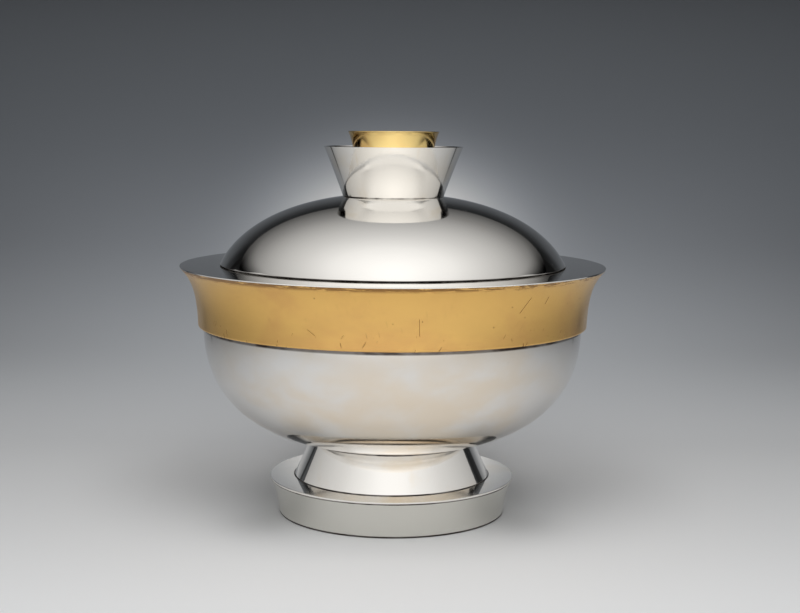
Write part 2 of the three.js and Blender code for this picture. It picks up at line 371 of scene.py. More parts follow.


# Polished silver: mirror bright, turning lines, wiping marks, a little warm tarnish, grime and painted shade
# in the joints
silverLook = {
    "bright": (0.945, 0.918, 0.870, 1), "warm": (0.93, 0.865, 0.765, 1), "shadedGrey": (0.815, 0.80, 0.745, 1),
    "cloudScale": 26.0, "warmLow": 0.62, "warmHigh": 0.80, "warmMost": 0.85,
    "lineScale": 900.0, "lineSpread": 0.02, "lineHaze": 0.5, "lineHeight": 0.012,
    "wipeScale": (70, 70, 9), "wipeTurn": (0.5, 0.3, 0.2), "wipeLow": 0.42, "wipeHigh": 0.72,
    "fineScale": (60, 60, 420), "fineTurn": (0.4, 0.25, 0.0), "fineShift": (0.3, 0.1, 0.2),
    "fineWidth": 0.035, "fineAmount": 0.06, "fineRough": 0.06,
    "swellScale": 18.0, "swellDetail": 1.5, "bumpDistance": 0.001, "bumpStrength": 0.3,
}


def polishedSilver(name, gloss, haze, tarnish, ripple, rings, bright=silverLook["bright"]):
    look = silverLook
    material, tree, shader = newFinish(name)
    cloud = clouds(tree, objectPlace(tree), look["cloudScale"], 5.0, 0.6, 0.3)
    warmth = remap(tree, cloud, look["warmLow"] - tarnish, look["warmHigh"] - tarnish, 0.0, look["warmMost"])
    colour = mixColour(tree, warmth, bright, look["warm"])
    dirtAndShade = grimeAndShade(tree, rings)
    # painted shade: joints and gaps darkened towards near black, with some grime
    colour = mixColour(tree, dirtAndShade, colour, grimeAndShadeLook["dark"])
    lines = clouds(tree, ringPlace(tree, look["lineSpread"]), look["lineScale"], 2.0)
    wipes = clouds(tree, objectPlace(tree, look["wipeScale"], look["wipeTurn"]), 1.0, 3.0, 0.6)
    fine = scratches(tree, look)
    smear = timesPlus(tree, remap(tree, wipes, look["wipeLow"], look["wipeHigh"]), haze, gloss)
    grain = timesPlus(tree, lines, haze * look["lineHaze"], smear)
    rough = timesPlus(tree, fine, look["fineRough"], grain)
    roughness = timesPlus(tree, dirtAndShade, grimeAndShadeLook["dull"], rough)
    swell = clouds(tree, objectPlace(tree), look["swellScale"], look["swellDetail"])
    height = timesPlus(tree, lines, look["lineHeight"], times(tree, swell, ripple))
    dress(tree, shader, look, colour, roughness, height)
    return material


# Silver of the bowl: a softer polish, cloudy warm tarnish, pin dots, fine scratches, and painted shade at the
# sides, under the band and in its joints
satinLook = {
    "clean": (0.890, 0.874, 0.849, 1), "warm": (0.878, 0.770, 0.630, 1), "dot": (0.30, 0.24, 0.18, 1),
    # dull is the grey of the painted shade at the bowl's sides and under the band
    "dull": (0.665, 0.660, 0.655, 1), "gloss": 0.085, "soft": 0.135, "stretch": (1, 1, 1.7),
    "cloudScale": 13.0, "patchScale": 34.0, "patchShare": 0.45,
    "frontPlace": 0.025, "frontAside": (0.105, 0.02), "frontAhead": (0.02, -0.05), "frontMore": 0.10,
    "warmRange": (0.42, 0.68, 0.04, 0.92),
    "shadeAside": (0.045, 0.125, 0.0, 0.75), "shadeUnder": (0.095, 0.128, 0.0, 0.34),
    "dots": (210.0, 0.08, 0.006), "dotDepth": 0.6,
    "fineScale": (40, 40, 300), "fineTurn": (0.2, 0.1, 0.0), "fineShift": (0, 0, 0),
    "fineWidth": 0.03, "fineAmount": 0.06, "fineRough": 0.07,
    "smearScale": (40, 40, 60), "smearRange": (0.3, 0.7),
    "swellScale": 22.0, "swellDetail": 2.0, "bumpDistance": 0.001, "bumpStrength": 0.10,
}


def satinSilver(name, rings):
    look = satinLook
    material, tree, shader = newFinish(name)
    place = objectPlace(tree, look["stretch"])
    broad = clouds(tree, place, look["cloudScale"], 4.0, 0.55, 0.5)
    patch = clouds(tree, place, look["patchScale"], 3.0, 0.5, 0.3)
    broad = times(tree, broad, 1 - look["patchShare"])
    cloud = timesPlus(tree, patch, look["patchShare"], broad)
    # the front is warmer than the sides
    axes = objectAxes(tree)
    aside = calculate(tree, "ABSOLUTE", minus(tree, axes["X"], look["frontPlace"]))
    ahead = remap(tree, axes["Y"], *look["frontAhead"])
    front = times(tree, remap(tree, aside, *look["frontAside"]), ahead)
    warmth = remap(tree, timesPlus(tree, front, look["frontMore"], cloud), *look["warmRange"])
    colour = mixColour(tree, warmth, look["clean"], look["warm"])
    # left and right, and a little under the band, painted shade: the colour is mixed towards a dull grey
    beside = remap(tree, calculate(tree, "ABSOLUTE", axes["X"]), *look["shadeAside"])
    under = remap(tree, axes["Z"], *look["shadeUnder"])
    colour = mixColour(tree, larger(tree, beside, under), colour, look["dull"])
    dots = speckles(tree, unrolled(tree, radiusOf("bowl")), *look["dots"])
    colour = mixColour(tree, times(tree, dots, look["dotDepth"]), colour, look["dot"])
    dirtAndShade = grimeAndShade(tree, rings)
    # painted shade: joints and gaps darkened towards near black, with some grime
    colour = mixColour(tree, dirtAndShade, colour, grimeAndShadeLook["dark"])
    fine = scratches(tree, look)
    smear = clouds(tree, objectPlace(tree, look["smearScale"]), 1.0)
    smear = remap(tree, smear, *look["smearRange"], look["gloss"], look["soft"])
    rough = timesPlus(tree, fine, look["fineRough"], smear)
    roughness = timesPlus(tree, dirtAndShade, grimeAndShadeLook["dull"], rough)
    swell = clouds(tree, objectPlace(tree), look["swellScale"], look["swellDetail"])
    dress(tree, shader, look, colour, roughness, swell)
    return material


# Gilding: soft gold with pits and nicks, a few long scratches in front, brown wear under its upper edge
# Dots as (cells per metre, size, share), nicks as (lean, length) and dots, scratches as (x, height) ends
giltLook = {
    "gold": (0.93, 0.572, 0.181, 1), "pale": (1.0, 0.76, 0.32, 1), "deep": (0.82, 0.467, 0.162, 1),
    "worn": (0.30, 0.155, 0.06, 1), "wornDepth": 0.85, "pit": (0.30, 0.14, 0.04, 1), "pitDepth": 0.75,
    "cloudScale": 22.0, "cloudStretch": (1, 1, 1.5), "deepRange": (0.42, 0.70, 0.0, 0.85),
    "pits": (170.0, 0.095, 0.09),
    "dashScale": (70, 70, 700), "dashRange": (0.47, 0.54), "dashMore": (0.05, -0.03, 0.0, 0.07),
    "wornReach": 0.0034, "wornEdge": 0.0010,
    "nickReach": 0.0120, "nickNear": 0.004, "nickLeast": 0.12,
    "nicks": [((0.25, 5.0), (260.0, 0.11, 0.45)), ((-0.6, 7.0), (220.0, 0.08, 0.5))],
    "strokes": [((0.0795, 0.1505), (0.0730, 0.1418)), ((0.0150, 0.1405), (0.0152, 0.1310)),
                ((-0.0480, 0.1330), (-0.0440, 0.1300)), ((0.0905, 0.1500), (0.0885, 0.1460))],
    "strokeWidth": 0.00032, "strokeCore": 0.3,
    "smearScale": (60, 60, 160), "smearRange": (0.3, 0.7), "smearMore": 0.05, "markRough": 0.15,
    "bumpDistance": 0.0001, "bumpStrength": 0.4,
}


def strokes(tree, ends, width):
    # nearness to straight scratches: p - a - t (b - a), t being the place along it held to 0..1
    axes = objectAxes(tree)
    flat = addNode(tree, "ShaderNodeCombineXYZ", {0: axes["X"], 2: axes["Z"]}).outputs[0]
    total = 0.0
    for (startX, startZ), (endX, endZ) in ends:
        run, climb = endX - startX, endZ - startZ
        square = run ** 2 + climb ** 2
        offset = vectorMath(tree, "SUBTRACT", flat, (startX, 0, startZ))
        along = vectorMath(tree, "DOT_PRODUCT", offset, (run / square, 0, climb / square))
        held = calculate(tree, "ADD", along, 0.0, clamp=True)
        sockets = {0: (run, 0, climb), "Scale": held}
        nearest = addNode(tree, "ShaderNodeVectorMath", sockets, operation="SCALE")
        distance = vectorMath(tree, "DISTANCE", offset, nearest.outputs[0])
        total = larger(tree, remap(tree, distance, width, width * giltLook["strokeCore"]), total)
    return times(tree, total, calculate(tree, "LESS_THAN", axes["Y"], 0.0))


def gilding(name, node, gloss, wear, gold):
    look = giltLook
    radius, low, high = radiusOf(node), bottomOf(node), topOf(node)
    material, tree, shader = newFinish(name)
    axes = objectAxes(tree)
    cloud = clouds(tree, objectPlace(tree, look["cloudStretch"]), look["cloudScale"], 4.0, 0.55, 0.3)
    colour = mixColour(tree, remap(tree, cloud, *look["deepRange"]), gold, look["deep"])
    pits = speckles(tree, unrolled(tree, radius), *look["pits"])
    # worn dashes that run round the band, close under its upper edge, most of them left of the front
    dashes = clouds(tree, objectPlace(tree, look["dashScale"]), 1.0, 4.0, 0.65)
    dashes = calculate(tree, "ADD", dashes, remap(tree, axes["X"], *look["dashMore"]))
    nearTop = remap(tree, axes["Z"], high - look["wornReach"], high - look["wornEdge"])
    rubbed = times(tree, nearTop, remap(tree, dashes, *look["dashRange"]))
    # short nicks leaning both ways, most of them above the lower edge
    nearLow = remap(tree, axes["Z"], low + look["nickReach"], low + look["nickNear"], look["nickLeast"], 1.0)
    leaning = [speckles(tree, unrolled(tree, radius, *lean), *dots) for lean, dots in look["nicks"]]
    nicks = times(tree, nearLow, larger(tree, *leaning))
    marks = larger(tree, nicks, strokes(tree, look["strokes"], look["strokeWidth"]))
    spots = larger(tree, pits, marks)
    colour = mixColour(tree, times(tree, spots, look["pitDepth"] * wear), colour, look["pit"])
    colour = mixColour(tree, times(tree, rubbed, look["wornDepth"] * wear), colour, look["worn"])
    smear = clouds(tree, objectPlace(tree, look["smearScale"]), 1.0)
    smear = remap(tree, smear, *look["smearRange"], gloss, gloss + look["smearMore"])
    roughness = timesPlus(tree, larger(tree, marks, rubbed), look["markRough"], smear)
    sunk = times(tree, spots, -wear)
    dress(tree, shader, look, colour, roughness, sunk)
    return material


# Turned brass of the hidden fastening
brassLook = {
    "pale": (0.80, 0.64, 0.34, 1), "dull": (0.56, 0.41, 0.19, 1),
    "cloudScale": 160.0, "cloudRange": (0.4, 0.7),
    "lineScale": 2600.0, "lineSpread": 0.05, "lineRough": 0.15, "gloss": 0.22,
    "bumpDistance": 0.0002, "bumpStrength": 0.4,
}


def turnedBrass(name):
    look = brassLook
    material, tree, shader = newFinish(name)
    cloud = clouds(tree, objectPlace(tree), look["cloudScale"])
    colour = mixColour(tree, remap(tree, cloud, *look["cloudRange"]), look["pale"], look["dull"])
    lines = clouds(tree, ringPlace(tree, look["lineSpread"]), look["lineScale"], 2.0)
    roughness = timesPlus(tree, lines, look["lineRough"], look["gloss"])
    dress(tree, shader, look, colour, roughness, lines)
    return material


# Finishes as gloss, haze, tarnish and ripple, with rings of grime and painted shade as (joint, reach, least)
silverDome = polishedSilver("silverDome", 0.045, 0.04, 0.02, 0.05,
                            [(lidEdge, 0.0008, 0.8), (knobJoint, 0.0004, 0.0)])
silverKnob = polishedSilver("silverKnob", 0.050, 0.04, 0.08, 0.05,
                            [(knobJoint, 0.0004, 0.0), (cupJoint, 0.0009, 0.8), (recess, 0.0008, 0.9)])
silverFoot = polishedSilver("silverFoot", 0.050, 0.04, 0.07, 0.05,
                            [(coneFootJoint, 0.0007, 0.7), (coneTopJoint, 0.0007, 0.6),
                             (plateJoint, 0.0007, 0.7)])
# the base ring's silver is a darker grey: painted shade
silverRing = polishedSilver("silverRing", 0.070, 0.05, -0.02, 0.05,
                            [(plateJoint, 0.0007, 0.7), (standing, 0.0015, 0.9)], silverLook["shadedGrey"])
silverRim = polishedSilver("silverRim", 0.055, 0.04, 0.04, 0.04, [(lidEdge, 0.0003, 0.8)])
silverBowl = satinSilver("silverBowl", [(hemJoint, 0.0026, 0.75), (coneTopJoint, 0.0008, 0.5)])
giltBandLook = gilding("giltBand", "gilt_band", 0.20, 1.0, giltLook["gold"])
giltCupLook = gilding("giltCup", "gilt_cup", 0.06, 0.10, giltLook["pale"])
brassTurned = turnedBrass("brassTurned")
print("finishes: made", len(bpy.data.materials), "materials")


# Base ring: a flared skirt under the plate
baseRing = {"taper": 0.0056, "flareLength": 0.024, "wall": 0.0016, "edge": 0.0007,
            "steps": 360, "step": 0.0009}
plateBottom = bottomOf("foot_plate")
baseSpread = baseRing["taper"] / (1 - math.exp(-plateBottom / baseRing["flareLength"]))
baseFoot = radiusOf("base_ring") - baseSpread
baseShape = (baseFoot, baseSpread, baseRing["flareLength"], plateBottom, plateBottom)
baseOutside, baseInside = flare(*baseShape, 0.0)[::-1], flare(*baseShape, baseRing["wall"])
placeTurned("baseRing", [
    baseOutside,
    straight(baseOutside[-1], baseInside[0]),
    baseInside,
    straight(baseInside[-1], baseOutside[0]),
], baseRing, silverRing, "tureen", "base_ring")

# Foot wire: a flat wire with rounded edges inside the ring's lower edge
footWire = {"width": 0.0032, "edge": 0.0009, "steps": 320, "step": 0.0004}
wireTop, wireOuter = topOf("foot_wire"), radiusOf("foot_wire")
wireInner = wireOuter - footWire["width"]
placeTurned("footWire", outline(
    (wireInner, 0.0), (wireOuter, 0.0), (wireOuter, wireTop), (wireInner, wireTop),
), footWire, silverRing, "tureen", "foot_wire")

# Foot plate: a flat disc with a thin rounded edge
footPlate = {"innerRadius": 0.056, "edge": 0.0002, "steps": 360, "step": 0.0008}
plateTop, plateRadius, plateInner = topOf("foot_plate"), radiusOf("foot_plate"), footPlate["innerRadius"]
placeTurned("footPlate", outline(
    (plateInner, plateBottom), (plateRadius, plateBottom), (plateRadius, plateTop), (plateInner, plateTop),
), footPlate, silverFoot, "tureen", "foot_plate")

# Bowl: a superellipse below its equator and an upright collar above it, with longer steps inside
bowl = {"exponent": 2.58, "collar": 0.0304, "wall": 0.0014, "edge": 0.0003, "steps": 400,
        "step": [0.0018, 0.0018, 0.0030]}
bowlRadius, bowlBottom, collarTop = radiusOf("bowl"), bottomOf("bowl"), topOf("bowl")
equator = collarTop - bowl["collar"]
bowlDepth = equator - bowlBottom


def bowlUnderside(radius):
    # height of the outside at a radius: equator less depth times the unit superellipse
    return equator - bowlDepth * superellipse(radius / bowlRadius, bowl["exponent"])


def bowlFace(wall):
    # from the axis along the superellipse quarter, then straight up the collar
    curve = quarterCurve(bowlRadius - wall, bowlDepth - wall, bowl["exponent"])
    side = [[bowlRadius - wall, collarTop]]
    return np.concatenate([np.column_stack([curve[:, 0], equator - curve[:, 1]]), side])


bowlOutside, bowlInside = bowlFace(0.0), bowlFace(bowl["wall"])[::-1]
placeTurned("bowlShell", [
    bowlOutside,
    straight(bowlOutside[-1], bowlInside[0]),
    bowlInside,
], bowl, silverBowl, "tureen", "bowl", closed=False)

# Foot cone: straight wall from the plate up to the bowl's underside
footCone = {"wall": 0.0016, "edge": 0.0003, "seam": 0.00005, "steps": 360, "step": 0.0007}
coneRadius, coneTop = radiusOf("foot_cone"), jointRadius["coneTop"]
coneLow = plateTop + footCone["seam"]
coneHigh = bowlUnderside(coneTop) - footCone["seam"]
coneInnerTop = coneTop - footCone["wall"]
coneInnerHigh = bowlUnderside(coneInnerTop) - footCone["seam"]
placeTurned("footCone", outline(
    (coneRadius - footCone["wall"], coneLow), (coneRadius, coneLow),
    (coneTop, coneHigh), (coneInnerTop, coneInnerHigh),
), footCone, silverFoot, "tureen", "foot_cone")

# Rim flange: flat, with a lip turned down round the mouth
rimFlange = {"mouthRadius": 0.103, "lipWall": 0.0012, "edge": 0.00025, "steps": 400, "step": 0.0012}
rimTop, rimRadius, lipBottom = topOf("rim_flange"), radiusOf("rim_flange"), bottomOf("rim_flange")
mouthRadius = rimFlange["mouthRadius"]
lipOuter = mouthRadius + rimFlange["lipWall"]
placeTurned("rimFlange", outline(
    (mouthRadius, lipBottom), (lipOuter, lipBottom), (lipOuter, collarTop),
    (rimRadius, collarTop), (rimRadius, rimTop), (mouthRadius, rimTop),
), rimFlange, silverRim, "tureen", "rim_flange")

# Gilt band: a trumpet flare outside the collar, its hem turned in to the bowl round the widest edge
giltBand = {"waistRadius": 0.1232, "flareLength": 0.0113, "wall": 0.0012, "hem": 0.0012,
            "edge": [0.0009] + [0.0002] * 5, "seam": 0.00005, "steps": 420, "step": 0.0007}
bandBottom = bottomOf("gilt_band")
bandFlare = rimRadius - giltBand["waistRadius"]
bandShape = (giltBand["waistRadius"], bandFlare, giltBand["flareLength"], collarTop, collarTop - bandBottom)
bandFace = flare(*bandShape, 0.0)[::-1]
bandBack = flare(*bandShape, giltBand["wall"])
hemTop = bandBottom + giltBand["hem"]
bandBack = bandBack[bandBack[:, 1] > hemTop]
hemInner = bowlRadius + giltBand["seam"]
placeTurned("giltBand", [
    straight((hemInner, bandBottom), bandFace[0]),
    bandFace,
    straight(bandFace[-1], bandBack[0]),
    bandBack,
    straight(bandBack[-1], (hemInner, hemTop)),
    straight((hemInner, hemTop), (hemInner, bandBottom)),
], giltBand, giltBandLook, "tureen", "gilt_band")
print("vessel: foot, bowl, flange and band made")

# Lid dome: the upper part of a superellipse, bored at its crown for the stud, roundest at its rim
lidDome = {"height": 0.0448, "centreDrop": 0.0259, "exponent": 2.24, "wall": 0.0012, "bore": 0.0028,
           "edge": [0.0008] + [0.0003] * 3, "steps": 440, "step": [0.0013] * 3 + [0.0024],
           "curvePoints": 1200}
lidSeat, lidRadius, bore = bottomOf("lid_dome"), radiusOf("lid_dome"), lidDome["bore"]
domeCentre = lidSeat - lidDome["centreDrop"]
domeRise = lidDome["height"] + lidDome["centreDrop"]
domeReach = lidRadius / superellipse(lidDome["centreDrop"] / domeRise, lidDome["exponent"])


def domeHeight(radius, wall):
    # height of the dome at a radius: centre plus rise times the unit superellipse
    return domeCentre + (domeRise - wall) * superellipse(radius / (domeReach - wall), lidDome["exponent"])


def domeRadius(height, wall):
    # the same superellipse read the other way
    return (domeReach - wall) * superellipse((height - domeCentre) / (domeRise - wall), lidDome["exponent"])


def domeFace(wall):
    # from the bore out to the seat
    curve = quarterCurve(domeReach - wall, domeRise - wall, lidDome["exponent"], lidDome["curvePoints"])
    curve[:, 1] += domeCentre
    middle = curve[(curve[:, 0] > bore) & (curve[:, 1] > lidSeat)]
    return np.concatenate([[[bore, domeHeight(bore, wall)]], middle, [[domeRadius(lidSeat, wall), lidSeat]]])


domeOutside, domeInside = domeFace(0.0)[::-1], domeFace(lidDome["wall"])
placeTurned("lidDome", [
    straight(domeInside[-1], domeOutside[0]),
    domeOutside,
    straight(domeOutside[-1], domeInside[0]),
    domeInside,
], lidDome, silverDome, "lid", "lid_dome")

# Lid bezel: a seat inside the dome's edge and a collar that locates in the mouth
lidBezel = {"clearance": 0.0008, "wall": 0.0012, "seam": 0.0001, "edge": 0.0003, "steps": 360, "step": 0.0008}
bezelBottom = bottomOf("lid_bezel")
bezelOuter = mouthRadius - lidBezel["clearance"]
bezelInner = bezelOuter - lidBezel["wall"]
bezelTop = lidSeat + lidBezel["wall"]
bezelSeat = domeRadius(bezelTop, lidDome["wall"]) - lidBezel["seam"]
placeTurned("lidBezel", outline(
    (bezelInner, bezelBottom), (bezelOuter, bezelBottom), (bezelOuter, lidSeat),
    (bezelSeat, lidSeat), (bezelSeat, bezelTop), (bezelInner, bezelTop),
), lidBezel, silverDome, "lid", "lid_bezel")

# Knob shell: a flared wall from the dome up to a thin rim
knobShell = {"wall": 0.0014, "hollow": 0.0002, "edge": 0.00015, "seam": 0.00005, "rows": 60, "steps": 360,
             "step": 0.0008}
knobRim, knobRadius = topOf("knob_shell"), radiusOf("knob_shell")
knobFoot, knobWall = jointRadius["knobFoot"], knobShell["wall"]
knobLow = domeHeight(knobFoot, 0.0) + knobShell["seam"]


def knobFace(height):
    return hollowFlare(height, knobLow, knobRim, knobFoot, knobRadius, knobShell["hollow"])


knobHeights = np.linspace(knobLow, knobRim, knobShell["rows"])
knobOutside = np.column_stack([knobFace(knobHeights), knobHeights])
knobInside = (knobOutside - [knobWall, 0.0])[::-1]
knobInside[-1] = (knobFoot - knobWall, domeHeight(knobFoot - knobWall, 0.0) + knobShell["seam"])
placeTurned("knobShell", [
    straight(knobInside[-1], knobOutside[0]),
    knobOutside,
    straight(knobOutside[-1], knobInside[0]),
    knobInside,
], knobShell, silverKnob, "lid", "knob_shell")

# Knob deck: the plate that closes the knob's top
knobDeck = {"seam": 0.0001, "edge": 0.0003, "steps": 320, "step": 0.0008}
deckTop, deckBottom = topOf("knob_deck"), bottomOf("knob_deck")
deckInset = knobWall + knobDeck["seam"]
placeTurned("knobDeck", outline(
    (bore, deckBottom), (knobFace(deckBottom) - deckInset, deckBottom),
    (knobFace(deckTop) - deckInset, deckTop), (bore, deckTop),
), knobDeck, silverKnob, "lid", "knob_deck")

# Gilt cup: open, with a flat floor that meets the wall in the widest edge
giltCup = {"wall": 0.0013, "floor": 0.0014, "hollow": 0.0003, "edge": [0.00035] * 3 + [0.0009, 0.0],
           "rows": 40, "steps": 320, "step": 0.0006}
cupRim, cupRadius, cupFoot = topOf("gilt_cup"), radiusOf("gilt_cup"), jointRadius["cupFoot"]
cupInner = cupRadius - giltCup["wall"]
cupFloor = deckTop + giltCup["floor"]
cupFloorRadius = cupFoot + (cupRadius - cupFoot) * giltCup["floor"] / (cupRim - deckTop) - giltCup["wall"]
cupHeights = np.linspace(deckTop, cupRim, giltCup["rows"])
cupFace = hollowFlare(cupHeights, deckTop, cupRim, cupFoot, cupRadius, giltCup["hollow"])
placeTurned("giltCup", [
    straight((0.0, deckTop), (cupFoot, deckTop)),
    np.column_stack([cupFace, cupHeights]),
    straight((cupRadius, cupRim), (cupInner, cupRim)),
    straight((cupInner, cupRim), (cupFloorRadius, cupFloor)),
    straight((cupFloorRadius, cupFloor), (0.0, cupFloor)),
], giltCup, giltCupLook, "lid", "gilt_cup", closed=False)

# Finial stud: a threaded rod, its thread a helix cut into the radius
finialStud = {"pitch": 0.0008, "depth": 0.00035, "steps": 64, "rowsPerPitch": 8, "chamfer": 0.0004}
studRadius, studTop, studEnd = radiusOf("finial_stud"), topOf("finial_stud"), bottomOf("finial_stud")


def studGrid():
    # r = R - depth * (1 - |saw|), saw = 2 (z / pitch - turn share) wrapped to -1..1, chamfered at both ends
    rows = int((studTop - studEnd) / finialStud["pitch"] * finialStud["rowsPerPitch"])
    height = np.linspace(studEnd, studTop, rows)[:, None]
    turn = fullTurn(finialStud["steps"])
    wave = np.abs(((height / finialStud["pitch"] - turn / (2 * math.pi)) % 1.0) * 2 - 1)
    radius = studRadius - finialStud["depth"] * (1 - wave)
    end = np.minimum(height - studEnd, studTop - height)
    radius = np.minimum(radius, studRadius - finialStud["chamfer"] + np.clip(end, 0.0, finialStud["chamfer"]))
    poles = [roundGrid(0.0, z, turn)[None] for z in (studEnd, studTop)]
    return np.concatenate([poles[0], roundGrid(radius, height, turn), poles[1]])


studMesh = gridMesh("finialStud", studGrid(), closed=False)
placePiece("finialStud", studMesh, brassTurned, "lid", "finial_stud")

# Finial washer: a small ring with broken edges
finialWasher = {"edge": 0.0003, "steps": 160, "step": 0.0005}
washerTop, washerBottom = topOf("finial_washer"), bottomOf("finial_washer")
washerRadius = radiusOf("finial_washer")
placeTurned("finialWasher", outline(
    (bore, washerBottom), (washerRadius, washerBottom), (washerRadius, washerTop), (bore, washerTop),
), finialWasher, brassTurned, "lid", "finial_washer")

# Finial nut: a domed cap nut, a turned blank with six flats
finialNut = {"acrossFlats": 0.009, "flatHeight": 0.004, "bore": 0.00262, "boreDepth": 0.0045,
             "capExponent": 2.0, "edge": 0.0003, "steps": 240, "step": 0.00025}
nutTop, nutBottom, nutBore = topOf("finial_nut"), bottomOf("finial_nut"), finialNut["bore"]


def nutGrid():
    # a row's radius: the smaller of the blank's and the hexagon's, apothem / cos(angle to the nearest flat)
    apothem = finialNut["acrossFlats"] / 2
    corner = apothem / math.cos(math.pi / 6)
    flatBottom = nutTop - finialNut["flatHeight"]
    cap = quarterCurve(corner, flatBottom - nutBottom, finialNut["capExponent"])
    cap = np.column_stack([cap[:, 0], flatBottom - cap[:, 1]])
    boreEnd = nutTop - finialNut["boreDepth"]
    profile = section([
        np.concatenate([cap, [[corner, nutTop]]]),
        straight((corner, nutTop), (nutBore, nutTop)),
        straight((nutBore, nutTop), (nutBore, boreEnd)),
        straight((nutBore, boreEnd), (0.0, boreEnd)),
    ], finialNut["step"], finialNut["edge"], closed=False)
    turn = fullTurn(finialNut["steps"])
    fromFlat = (turn % (math.pi / 3)) - math.pi / 6
    return roundGrid(np.minimum(profile[:, :1], apothem / np.cos(fromFlat)), profile[:, 1:], turn)


nutMesh = gridMesh("finialNut", nutGrid(), closed=False)
placePiece("finialNut", nutMesh, brassTurned, "lid", "finial_nut")
print("lid: dome, bezel, knob, cup and fastening made")


# Stage: a pale floor and a paper sweep that rises behind the tureen in one bend; its back is clear
stageSize = {"reach": 6.0, "bend": 0.20, "lead": 0.02, "radius": 0.42, "top": 0.54, "bendSteps": 48,
             "under": 0.0006}


def stripMesh(name, line):
    # (y, z) points carried straight across in x, from side to side of the stage
    across = np.array([-stageSize["reach"], stageSize["reach"]])
    grid = np.stack(np.broadcast_arrays(across[None, :], line[:, :1], line[:, 1:]), axis=-1)
    corner = np.arange(len(line) - 1) * 2
    quads = np.column_stack([corner, corner + 1, corner + 3, corner + 2])
    mesh = bpy.data.meshes.new(name)
    mesh.from_pydata(grid.reshape(-1, 3).tolist(), [], quads.tolist())
    mesh.polygons.foreach_set("use_smooth", np.ones(len(quads), bool))
    return mesh


def sweepLine():
    # floor, quarter circle y = bend + R sin(a), z = R (1 - cos(a)), and a short upright
    angle = np.linspace(0.0, math.pi / 2, stageSize["bendSteps"])
    curve = np.column_stack([stageSize["bend"] + stageSize["radius"] * np.sin(angle),
                             stageSize["radius"] * (1 - np.cos(angle))])
    start = [[-stageSize["reach"], 0.0], [stageSize["bend"] - stageSize["lead"], 0.0]]
    return np.concatenate([start, curve, [[curve[-1, 0], stageSize["top"]]]])


# Tones along the sweep at even steps of y + z, less light to the sides, and a lighter pool behind the lid
# Left and right, seen only in the silver, a dark stripe runs away; its angles are degrees from the front
# Spots beside the foot as (x, width, y, length, amount): light that the silver throws back, and shade
paperLook = {
    "rough": 0.8, "specular": 0.1,
    "plain": (0.99, 1.0, 1.01, 1), "cool": (0.93, 1.0, 1.10, 1), "coolRange": (0.1, 0.85),
    "first": -0.3, "step": 0.1,
    "tones": [0.82, 0.785, 0.683, 0.592, 0.518, 0.449, 0.375, 0.328,
              0.270, 0.200, 0.142, 0.099, 0.080, 0.062, 0.012, 0.01],
    "frontLight": 0.975, "wallLight": 0.755, "lightRange": (-0.3, 0.35), "most": 0.92,
    "sideLeast": 0.25, "floorWidth": 0.66, "wallWidth": 0.33,
    "riseStart": (0.2, 0.45), "riseEnd": (0.95, 0.62),
    "glow": 0.80, "poolPlain": 3.5, "glowPlace": 0.633, "glowWidth": 0.063, "glowLength": 0.077,
    "besideSpots": [(0.085, 0.030, 0.12, 0.045, 0.28), (0.078, 0.018, -0.035, 0.025, -0.23)],
    "stripeStart": 128.0, "stripeEnd": 131.8, "stripeSoft": 0.7, "stripeWider": (0.50, 0.60, 0.0, 7.0),
    "stripeNear": (0.41, 0.46), "stripeDepth": 0.80,
    "cornerAside": (0.43, 0.60), "cornerAway": (0.75, 0.90), "cornerDepth": 0.55,
    "frontTone": 0.86, "frontRange": (-0.42, -0.85), "farRange": (-6.0, -4.8, 0.1, 1.0),
}
floorLook = {"pale": (0.56, 0.56, 0.565, 1), "grey": (0.50, 0.50, 0.505, 1),
             "mottleScale": 3.0, "mottleDetail": 2.0}


def grey(tree, value):
    return addNode(tree, "ShaderNodeCombineColor", {0: value, 1: value, 2: value}).outputs[0]


def bellCurve(tree, first, second=0.0):
    # exp(-(a^2 + b^2) / 2)
    return calculate(tree, "EXPONENT", times(tree, squareSum(tree, first, second), -0.5))


def apart(tree, value, place, length):
    # (v - place) / length
    return calculate(tree, "DIVIDE", minus(tree, value, place), length)


def toneRamp(tree, share, stops, interpolation):
    # grey levels at places from 0 to 1
    ramp = addNode(tree, "ShaderNodeValToRGB", {0: share})
    ramp.color_ramp.interpolation = interpolation
    elements = ramp.color_ramp.elements
    for _ in stops[2:]:
        elements.new(0.5)
    for element, (place, level) in zip(elements, stops):
        element.position = place
        element.color = (level, level, level, 1)
    return ramp.outputs[0]


def paperFinish(name):
    material, tree, shader = newFinish(name, 0.0)
    shader.inputs["Roughness"].default_value = paperLook["rough"]
    return material, tree, shader


def mirroredStripe(tree, sideways, axes):
    # a wedge between two angles from the front, wider on the right, shown to glossy rays alone
    look = paperLook
    turn = calculate(tree, "ARCTAN2", sideways, times(tree, axes["Y"], -1.0))
    turn = times(tree, turn, 180 / math.pi)
    right = calculate(tree, "GREATER_THAN", axes["X"], 0.0)
    wider = times(tree, right, remap(tree, sideways, *look["stripeWider"]))
    start = minus(tree, look["stripeStart"], wider)
    soft = look["stripeSoft"]
    opens = remap(tree, minus(tree, turn, start), -soft, soft)
    closes = remap(tree, turn, look["stripeEnd"] + soft, look["stripeEnd"] - soft)
    stripe = times(tree, opens, closes)
    stripe = times(tree, stripe, remap(tree, sideways, *look["stripeNear"]))
    return times(tree, stripe, addNode(tree, "ShaderNodeLightPath").outputs["Is Glossy Ray"])


